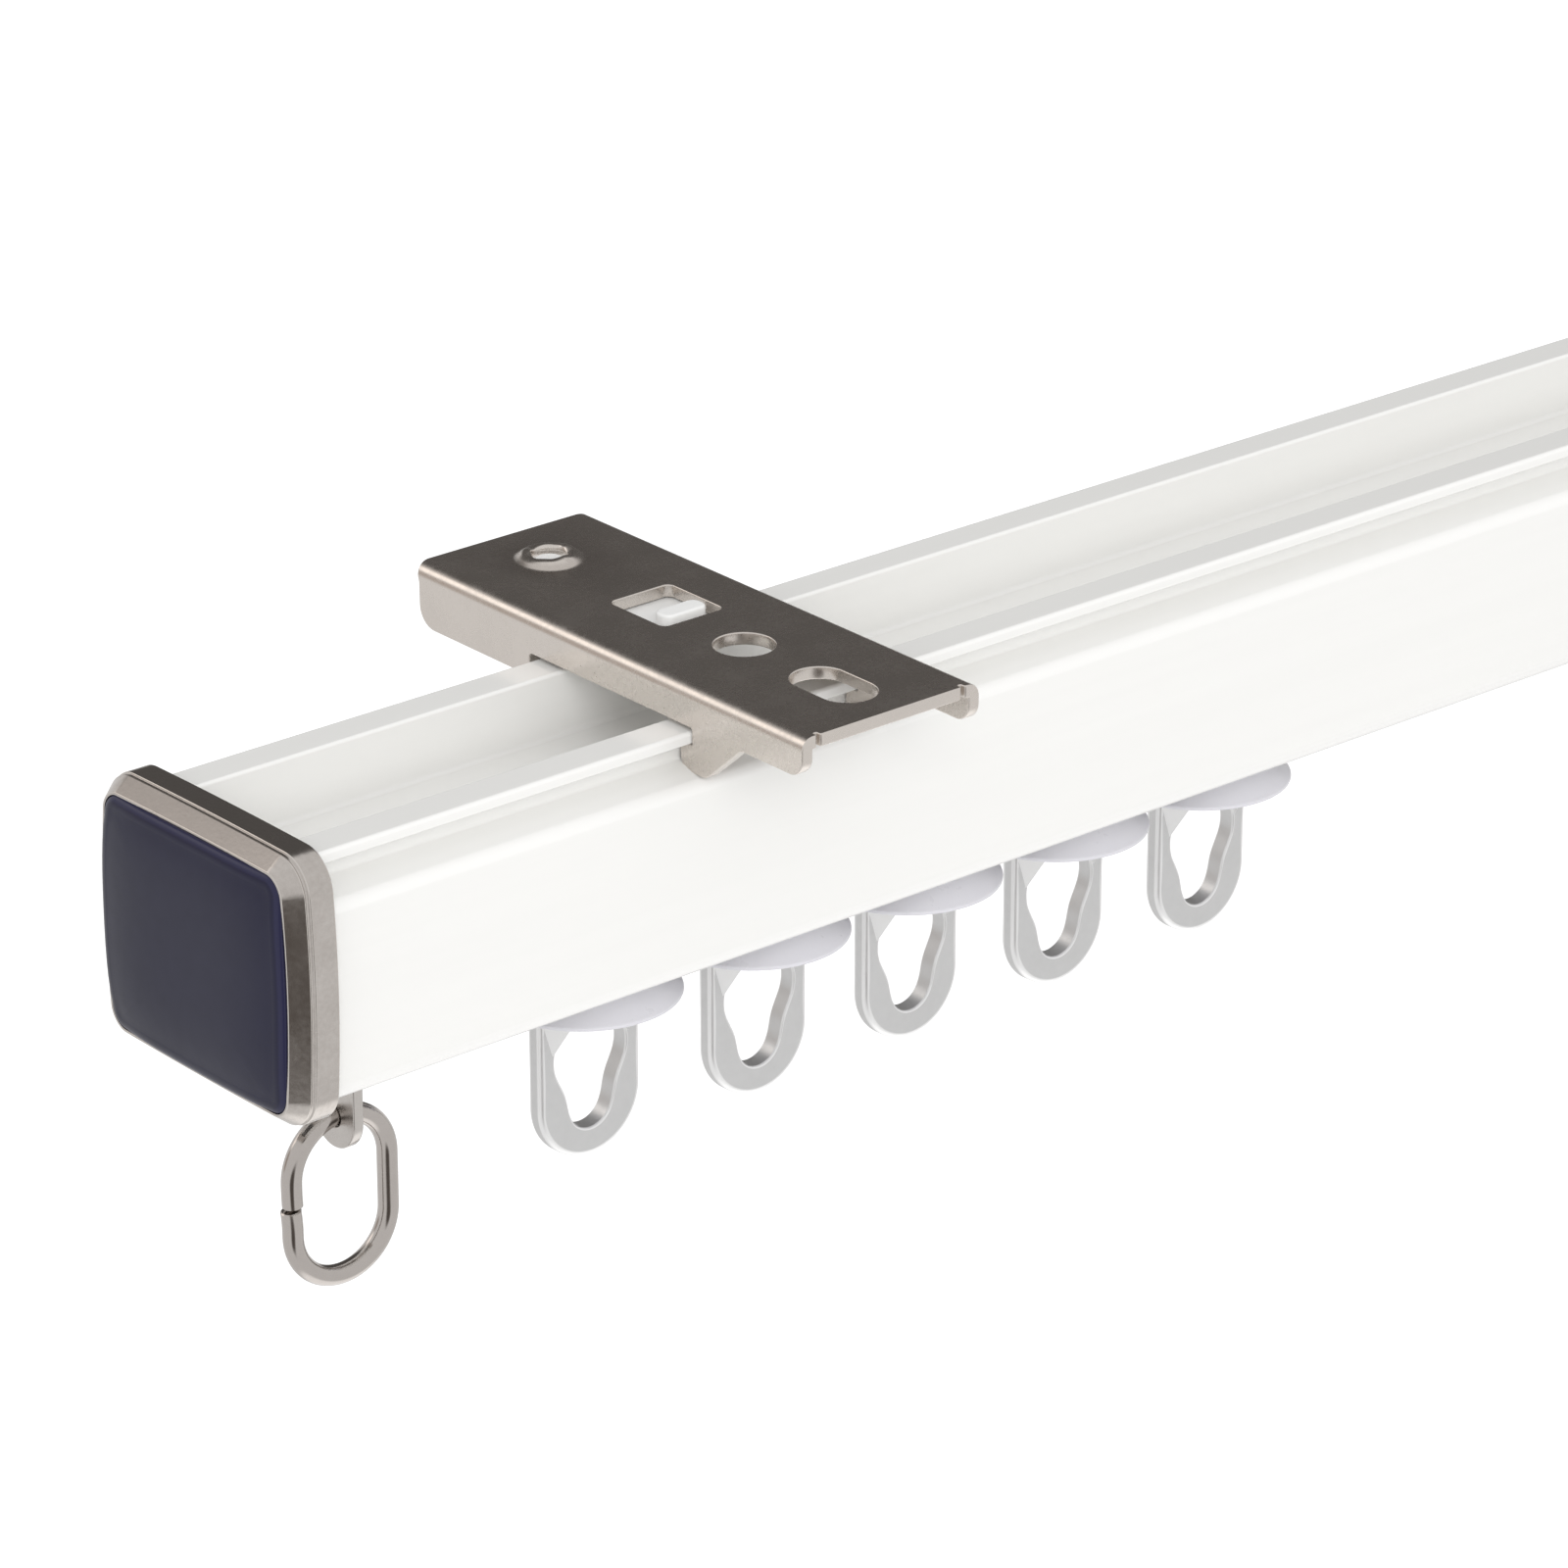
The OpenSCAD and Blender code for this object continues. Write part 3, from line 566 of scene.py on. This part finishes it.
def hang(z):
    """Pattern coordinate u of a flange point at height z"""
    return BEND_START + BEND_LEN + PLATE_TOP - BEND_OUT - z


def outwards(loop):
    """Unit normals of a closed loop, pointing to the right of its direction"""
    ahead = np.roll(loop, -1, 0) - loop
    ahead /= np.linalg.norm(ahead, axis=1)[:, None]
    mean = ahead + np.roll(ahead, 1, 0)
    mean /= np.linalg.norm(mean, axis=1)[:, None]
    return np.stack([mean[:, 1], -mean[:, 0]], -1)


def inside(loop, points):
    """Even-odd test of points in a closed loop"""
    a, b = loop, np.roll(loop, -1, 0)
    x, y = points[:, None, 0], points[:, None, 1]
    spans = (a[:, 1] > y) != (b[:, 1] > y)
    rise = np.where(a[:, 1] == b[:, 1], 1.0, b[:, 1] - a[:, 1])
    cross = a[:, 0] + (y - a[:, 1]) / rise * (b[:, 0] - a[:, 0])
    return (spans & (x < cross)).sum(1) % 2 == 1


def cut_at(loop, levels):
    """Closed loop with a point added wherever it crosses one of the levels of u"""
    out = []
    for p, q in zip(loop, np.roll(loop, -1, 0)):
        out.append(p)
        shares = [(c - p[0]) / (q[0] - p[0]) for c in levels
                  if min(p[0], q[0]) + 1e-6 < c < max(p[0], q[0]) - 1e-6]
        out += [p + t * (q - p) for t in sorted(shares)]
    return np.array(out)


def bend_levels():
    """Levels of u where the pattern needs edges: every 10 degrees of the bends"""
    bends = BEND_START + BEND_MID * np.radians(np.arange(0, 91, 10))
    levels = np.append(bends, [BEND_START - BEND_HOLD, BEND_START + BEND_LEN + BEND_HOLD])
    return np.concatenate([levels, -levels])


def bracket_outline():
    """Outline of the flat pattern, with its claws under the lip and its corner notches"""
    low, foot, lip, claw = hang(-1.5), hang(0.33), hang(-0.95), hang(-3.1)
    right = [(7.1, 23.2, 0.3), (8.5, 22.75, 0.8), (low, 22.7, 2.7), (low, 9.5, 0.3),
             (foot, 9.5, 0.25), (foot, -9.15, 0.2), (lip, -9.15, 0.12), (lip, -7.85, 0.2),
             (claw, -7.85, 2.1), (claw, -10.7, 1.5), (foot, -14.6, 0.9), (foot, -21.3, 1.4),
             (6.92, -21.3, 0.2), (6.92, -20.85, 0.12), (6.6, -20.85, 0.12),
             (6.6, -21.3, 0.2)]
    left = [(-u, y, r) for u, y, r in reversed(right)]
    return soft_path(right + left, step=12.0)[::-1]


def bracket_openings():
    """Round hole, slotted hole and window of the flat pattern"""
    ring = circle(HOLE_COUNT, -1)
    slot = ring * SLOT_R + np.where(ring[:, 1:] > 0, SLOT_HALF, -SLOT_HALF) * (0, 1)
    return [ring * HOLE_R + (0, -HOLE_BACK), slot + (0, SLOT_Y), soft_path(WINDOW, step=12.0)]


def triangulated(loops, outer, levels):
    """Faces between an outline and its openings, with edges along the levels of u.

    The outer loop is the outline before its edge was rounded. Its points on one level are
    joined in pairs, so that no face crosses a bend.
    """
    flat = np.concatenate(loops)
    starts = np.cumsum([0] + [len(loop) for loop in loops])
    edges = []
    for start, stop in zip(starts, starts[1:]):
        edges += [(k, k + 1 if k + 1 < stop else start) for k in range(start, stop)]
    for c in levels:
        on = [k for k in range(len(outer)) if abs(outer[k, 0] - c) < 1e-6]
        on.sort(key=lambda k: outer[k, 1])
        edges += list(zip(on[::2], on[1::2]))
    found = delaunay_2d_cdt([Vector(p) for p in flat], edges, [list(range(starts[1]))], 1,
                            1e-7)
    assert len(found[0]) == len(flat), "the pattern's lines cross"
    order = [old[0] for old in found[3]]
    faces = [[order[k] for k in f] for f in found[2]]
    centres = np.array([np.mean(flat[f], 0) for f in faces])
    keep = inside(loops[0], centres)
    for loop in loops[1:]:
        keep &= ~inside(loop, centres)
    return [f for f, kept in zip(faces, keep) if kept]


def edge_rows(loop):
    """Rows of points down the sheet's edge at a loop, rounded by EDGE_R at each face"""
    out = outwards(loop)
    turn = np.radians([30, 60, 90])
    insets, depths = EDGE_R * (1 - np.sin(turn)), EDGE_R * (1 - np.cos(turn))
    upper = [fold(loop - i * out, d) for i, d in zip(insets, depths)]
    lower = [fold(loop - i * out, SHEET_T - d) for i, d in zip(insets, depths)]
    return upper + lower[::-1]


def dimple_rows():
    """Rows of the dimple's wall, with its collar's height varying as sines of the angle"""
    turn = np.linspace(0, -2 * math.pi, HOLE_COUNT, endpoint=False)
    tear = 0.09 * np.sin(3 * turn + 0.6) + 0.06 * np.sin(5 * turn + 2.0) - 0.15
    ring = circle(HOLE_COUNT, -1)
    return [np.column_stack([ring * r + DIMPLE, z + torn * tear])
            for r, z, torn in DIMPLE_WALL]


def add_wall(points, faces, top, below, rows):
    """Adds rows of points between a loop of the top face and the same loop below it"""
    rings = [top]
    for row in rows:
        first = sum(len(p) for p in points)
        points.append(row)
        rings.append(first + np.arange(len(row)))
    rings.append(top + below)
    for a, b in zip(rings, rings[1:]):
        faces += np.stack([a, b, np.roll(b, -1), np.roll(a, -1)], -1).tolist()


def make_plate(i):
    """Both faces triangulated from the pattern, walls with rounded edges between them"""
    levels = bend_levels()
    outer = cut_at(bracket_outline(), levels)
    loops = [outer] + bracket_openings()
    inset = [loop - EDGE_R * outwards(loop) for loop in loops]
    inset.append(circle(HOLE_COUNT, -1) * DIMPLE_R + DIMPLE)
    flat = np.concatenate(inset)
    points = [fold(flat, 0.0), fold(flat, SHEET_T)]
    faces = triangulated(inset, outer, levels)
    faces += [[k + len(flat) for k in reversed(f)] for f in faces]
    start = 0
    for loop, rows in zip(inset, [edge_rows(loop) for loop in loops] + [dimple_rows()]):
        add_wall(points, faces, start + np.arange(len(loop)), len(flat), rows)
        start += len(loop)
    shift = np.array([BRACKET_X[i], 0, 0])
    piece("bracket_%d_sheet" % i, [(np.concatenate(points) + shift, faces)], SHEET,
          "rail_body", ["bracket_%d_plate" % i], merge=True)


# The lock's tab rises above TAB_FOOT_Z. Its left end is TAB_CUT further in than the CAD's
TAB_FOOT_Z = 3.0
TAB_CUT = 0.9
TAB_R = 0.7


def make_lock(i):
    """The CAD's lock with a shorter, softer tab"""

    def soft_tab(bm):
        """Moves the tab's left end in and rounds its upright edges"""
        for v in bm.verts:
            x, _, z = rail_point(v)
            if z > TAB_FOOT_Z and x - BRACKET_X[i] < -1:
                v.co.x += TAB_CUT * MM
                for e in v.link_edges:
                    low = e.other_vert(v)
                    if rail_point(low)[2] < TAB_FOOT_Z:
                        low.co.x += TAB_CUT * MM
        upright = [e for e in bm.edges
                   if max(rail_point(v)[2] for v in e.verts) > TAB_FOOT_Z
                   and abs(e.verts[0].co.z - e.verts[1].co.z) > 0.5 * MM]
        bmesh.ops.bevel(bm, geom=upright, offset=TAB_R * MM, offset_type="OFFSET", segments=4,
                        profile=0.5, affect="EDGES")

    rounded("bracket_%d_lock" % i, ACETAL, 0.22, "lock_%d" % i, soft_tab)


SPRING_R, SPRING_HALF_T = 6.33, 0.3
SPRING_LOW, SPRING_HIGH = 0.5, 2.1
# Profile of the button: radius and Z
BUTTON = [(0.3, SPRING_LOW), (1.05, SPRING_LOW), (1.15, SPRING_LOW + 0.1), (1.15, 3.25),
          (1.0, PLATE_TOP), (0.3, PLATE_TOP)]


def make_spring(i):
    """Bow: a small section swept along an arc that touches the button. Button: a lathe.
    """
    middle = (BRACKET_X[i] + DIMPLE[0], DIMPLE[1])
    section = soft_path([(-SPRING_HALF_T, SPRING_LOW, 0.1), (SPRING_HALF_T, SPRING_LOW, 0.1),
                         (SPRING_HALF_T, SPRING_HIGH, 0.1), (-SPRING_HALF_T, SPRING_HIGH, 0.1)])
    turn = np.radians(np.linspace(-65, 65, 40))[:, None]
    r, z = SPRING_R + section[:, 0], section[:, 1]
    bow = np.stack([middle[0] + r * np.sin(turn), middle[1] - SPRING_R + r * np.cos(turn),
                    z + 0 * turn], -1)
    spring = piece("bracket_%d_spring_bow" % i, [skin(bow)], ACETAL, "rail_body",
                   ["bracket_%d_spring" % i])
    piece("bracket_%d_spring_button" % i, [lathe(BUTTON, *middle)], ACETAL, "rail_body")
    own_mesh(spring)


def make_bracket(i):
    """Bracket plate, lock and bow spring"""
    make_plate(i)
    make_lock(i)
    make_spring(i)


# Runners

EYE_TOP_Z, EYE_TOP_R = -27.3, 3.35
EYE_LOW_Z, EYE_LOW_R = -31.5, 1.95
EYE_MIDDLE = np.array([0.0, -28.6])
EYE_BLEND = 2.2
RING_HALF_W = 4.7
RING_HALF_T = 0.8
RING_END_Z = -31.0
RING_TOP_Z = -22.9
# Width of the band's drawn section, and the place in it from which points keep to the rim
BAND_W, BAND_SPLIT = 2.0, 1.0
BAND = [(0.0, -RING_HALF_T, 0.2), (BAND_W, -RING_HALF_T, 0.48), (BAND_W, RING_HALF_T, 0.48),
        (0.0, RING_HALF_T, 0.2)]
# Profiles of the disc and the headed stem: radius and Z
DISC = [(0.3, -23.2), (3.05, -23.2), (3.2, -23.1), (3.2, -22.75), (3.05, -22.65),
        (0.3, -22.65)]
STEM = [(0.3, -23.0), (1.45, -23.0), (1.45, -15.95), (2.05, -15.95), (2.2, -15.8),
        (2.2, -15.25), (2.05, -15.1), (0.3, -15.1)]
# A gusset's outlines under the disc and at its foot: X and Y from the stem's middle
GUSSET_TOP = [(1.4, 0.78), (2.9, 2.9), (4.66, 0.78), (4.66, -0.78), (2.9, -2.9),
              (1.4, -0.78)]
GUSSET_FOOT = [(3.5, 0.78), (3.55, 0.84), (3.6, 0.78), (3.6, -0.78), (3.55, -0.84),
               (3.5, -0.78)]
GUSSET_Z = (-23.12, -26.6)


def eye_gap(points):
    """Distance outside the eye: the smooth least of the distances from its two lobes.

    For distances a and b it is the mean b (1 - h) + a h, less EYE_BLEND h (1 - h), where
    h = 0.5 + 0.5 (b - a) / EYE_BLEND.
    """
    upper = np.hypot(points[:, 0], points[:, 1] - EYE_TOP_Z) - EYE_TOP_R
    lower = np.hypot(points[:, 0], points[:, 1] - EYE_LOW_Z) - EYE_LOW_R
    h = np.clip(0.5 + 0.5 * (lower - upper) / EYE_BLEND, 0, 1)
    return lower * (1 - h) + upper * h - EYE_BLEND * h * (1 - h)


def eye_points(ray):
    """Eye's edge on rays from its middle, found by halving"""
    low, high = np.zeros(len(ray)), np.full(len(ray), 8.0)
    for _ in range(40):
        mid = (low + high) / 2
        within = eye_gap(EYE_MIDDLE + ray * mid[:, None]) < 0
        low, high = np.where(within, mid, low), np.where(within, high, mid)
    return EYE_MIDDLE + ray * low[:, None]


def rim_points(ray):
    """Ring's outer edge on the same rays: straight sides, round foot, flat top"""
    sides = RING_HALF_W / np.maximum(np.abs(ray[:, 0]), 1e-9)
    lift = (RING_TOP_Z - EYE_MIDDLE[1]) / np.maximum(ray[:, 1], 1e-9)
    reach = np.minimum(sides, np.where(ray[:, 1] > 0, lift, 99.0))
    points = EYE_MIDDLE + ray * reach[:, None]
    gap = EYE_MIDDLE - (0.0, RING_END_Z)
    b = ray @ gap
    t = -b + np.sqrt(np.maximum(b ** 2 - gap @ gap + RING_HALF_W ** 2, 0))
    foot = EYE_MIDDLE + ray * t[:, None]
    return np.where((points[:, 1] < RING_END_Z)[:, None], foot, points)


def ring_band():
    """Band between the eye and the rim, as wide as the gap between them on each ray.

    A section's point is measured from the nearer edge, so its corners keep their size.
    """
    ray = circle(200)
    inner, outer = eye_points(ray), rim_points(ray)
    width = np.linalg.norm(outer - inner, axis=1)
    way = (outer - inner) / width[:, None]
    s, y = soft_path(BAND, step=12.0, hold=0.04).T[:, :, None]
    reach = np.where(s < BAND_SPLIT, 0.0, width - BAND_W) + s
    at = inner + way * reach[:, :, None]
    return np.stack([at[:, :, 0], y + 0 * width, at[:, :, 1]], -1)


def make_ring(i):
    """Eye band with its disc, headed stem and two gussets"""
    middle = np.array([RUNNER_X[i], 0.0, 0.0])
    shells = [skin(ring_band() + middle, closed=True)]
    shells += [lathe(profile, RUNNER_X[i], 0) for profile in (DISC, STEM)]
    for side in (-1, 1):
        levels = np.array([[(side * x + RUNNER_X[i], y, z) for x, y in outline]
                           for outline, z in zip((GUSSET_TOP, GUSSET_FOOT), GUSSET_Z)])
        shells.append(skin(levels))
    piece("runner_%d_ring_smooth" % i, shells, RING, "curtain_ring_%d" % i,
          ["runner_%d_ring" % i])


# Profile of the umbrella flange: radius and Z
UMBRELLA_TOP = -19.33
UMBRELLA = [(1.55, UMBRELLA_TOP), (3.6, UMBRELLA_TOP), (7.4, -22.24), (7.4, -22.5),
            (6.75, -22.5), (6.7, -22.3), (2.8, -20.1), (2.6, -20.3), (2.6, -22.6),
            (1.55, -22.6)]


def make_runner(i):
    """Body, axle, wheels and ring of one runner"""

    def umbrella(bm):
        """Under the neck, the flange is cut off and turned anew from UMBRELLA's profile"""
        cut = (0, 0, (UMBRELLA_TOP + 0.01 - PLATE_TOP) * MM)
        geom = bm.verts[:] + bm.edges[:] + bm.faces[:]
        bmesh.ops.bisect_plane(bm, geom=geom, plane_co=cut, plane_no=(0, 0, 1),
                               clear_inner=True)
        bmesh.ops.bridge_loops(bm, edges=[e for e in bm.edges if e.is_boundary])
        add_shell(bm, *lathe(UMBRELLA, RUNNER_X[i], 0, count=96, closed=True))
        bmesh.ops.recalc_face_normals(bm, faces=bm.faces)

    rounded("runner_%d_body" % i, RUNNER, 0.1, "runner_%d" % i, umbrella)
    rounded("runner_%d_axle" % i, AXLE, 0.08, "runner_%d" % i)
    for side in ("front", "back"):
        rounded("runner_%d_%s_wheel" % (i, side), RUNNER, 0.15, "%s_wheel_%d" % (side, i))
    make_ring(i)


make_rail()
for name, side in SIDES.items():
    make_cap(name, side)
    make_stop(name, side)
for number in BRACKET_X:
    make_bracket(number)
for number in RUNNER_X:
    make_runner(number)


# Studio

FLOOR_SIZE, FLOOR_Z = 40.0, -0.35
FLOOR_COLOUR = (0.85, 0.85, 0.85, 1)
FLOOR_GLOW = 0.42
DOME_R = 3.0
DOME_COLOUR = (0.83, 0.825, 0.82, 1)
# Patches of the reflected studio: middle, full and last angle from it, and colour
PATCHES = [((0.2, -0.05, -0.97), 20, 36, (1.35, 1.34, 1.33)),
           ((-0.58, -0.73, -0.35), 10, 24, (0.12, 0.105, 0.095)),
           ((-0.72, 0.69, 0.06), 6, 16, (0.50, 0.44, 0.40)),
           ((-0.52, 0.70, 0.47), 6, 17, (1.6, 1.5, 1.42)),
           ((-0.25, 0.75, 0.61), 5, 14, (0.50, 0.47, 0.45)),
           ((0.22, 0.70, 0.68), 18, 33, (0.11, 0.104, 0.10)),
           ((0.593, 0.70, 0.45), 26, 38, (0.11, 0.104, 0.10))]
WORLD_LIGHT = 0.82
KEY_PLACE = (-1.15, -1.75, 0.95)
KEY_POWER, KEY_SIZE = 18.0, 1.2


def stage_material(name, surface):
    """Material made of the shader that surface(tree) gives"""
    mat = bpy.data.materials.new(name)
    mat.use_nodes = True
    tree = mat.node_tree
    tree.nodes.clear()
    add_node(tree, "ShaderNodeOutputMaterial", {"Surface": surface(tree)})
    return mat


def floor_surface(tree):
    """Matt and pale, with a glow that only the camera sees, and clear from below"""
    seen = add_node(tree, "ShaderNodeLightPath")["Is Camera Ray"]
    glow = add_node(tree, "ShaderNodeEmission",
                    {"Strength": reckon(tree, "MULTIPLY", seen, FLOOR_GLOW)})
    matt = add_node(tree, "ShaderNodeBsdfDiffuse", {"Color": FLOOR_COLOUR})
    both = add_node(tree, "ShaderNodeAddShader", {0: matt[0], 1: glow[0]})
    clear = add_node(tree, "ShaderNodeBsdfTransparent")
    below = add_node(tree, "ShaderNodeNewGeometry")["Backfacing"]
    return add_node(tree, "ShaderNodeMixShader", {0: below, 1: both[0], 2: clear[0]})[0]


def dome_surface(tree):
    """Even light, with each patch mixed in by the angle from its middle"""
    place = add_node(tree, "ShaderNodeTexCoord")["Object"]
    way = add_node(tree, "ShaderNodeVectorMath", {0: place}, operation="NORMALIZE")[0]
    colour = DOME_COLOUR
    for middle, full, last, light in PATCHES:
        dot = add_node(tree, "ShaderNodeVectorMath", {0: way, 1: unit(middle)},
                       operation="DOT_PRODUCT")["Value"]
        share = add_node(tree, "ShaderNodeMapRange",
                         {"Value": dot, "From Min": math.cos(math.radians(last)),
                          "From Max": math.cos(math.radians(full))},
                         interpolation_type="SMOOTHSTEP")["Result"]
        colour = blend(tree, share, colour, (*light, 1))
    return add_node(tree, "ShaderNodeEmission", {"Color": colour})[0]


def make_studio():
    """Floor, dome that only reflections see, world and key light"""
    bpy.ops.mesh.primitive_plane_add(size=FLOOR_SIZE, location=(0, 0, FLOOR_Z))
    floor = bpy.context.object
    floor.name = "floor"
    floor.data.materials.append(stage_material("floor_white", floor_surface))
    floor.visible_glossy = False

    bpy.ops.mesh.primitive_uv_sphere_add(segments=64, ring_count=32, radius=DOME_R)
    dome = bpy.context.object
    dome.name = "studio_dome"
    dome.data.materials.append(stage_material("dome_glow", dome_surface))
    for kind in ("camera", "diffuse", "transmission", "volume_scatter", "shadow"):
        setattr(dome, "visible_" + kind, False)

    world = bpy.data.worlds.new("studio")
    bpy.context.scene.world = world
    world.use_nodes = True
    tree = world.node_tree
    seen = add_node(tree, "ShaderNodeLightPath")["Is Camera Ray"]
    strength = add_node(tree, "ShaderNodeMapRange",
                        {"Value": seen, "To Min": WORLD_LIGHT, "To Max": 1.0})["Result"]
    background = tree.nodes["Background"]
    tree.links.new(strength, background.inputs["Strength"])
    background.inputs["Color"].default_value = (1, 1, 1, 1)

    data = bpy.data.lights.new("key", "AREA")
    data.energy = KEY_POWER
    data.size = KEY_SIZE
    lamp = bpy.data.objects.new("key", data)
    bpy.context.scene.collection.objects.link(lamp)
    lamp.location = KEY_PLACE
    lamp.visible_glossy = False
    lamp.rotation_euler = (-lamp.location).to_track_quat("-Z", "Y").to_euler()
    bpy.context.scene.view_settings.view_transform = "Standard"


make_studio()
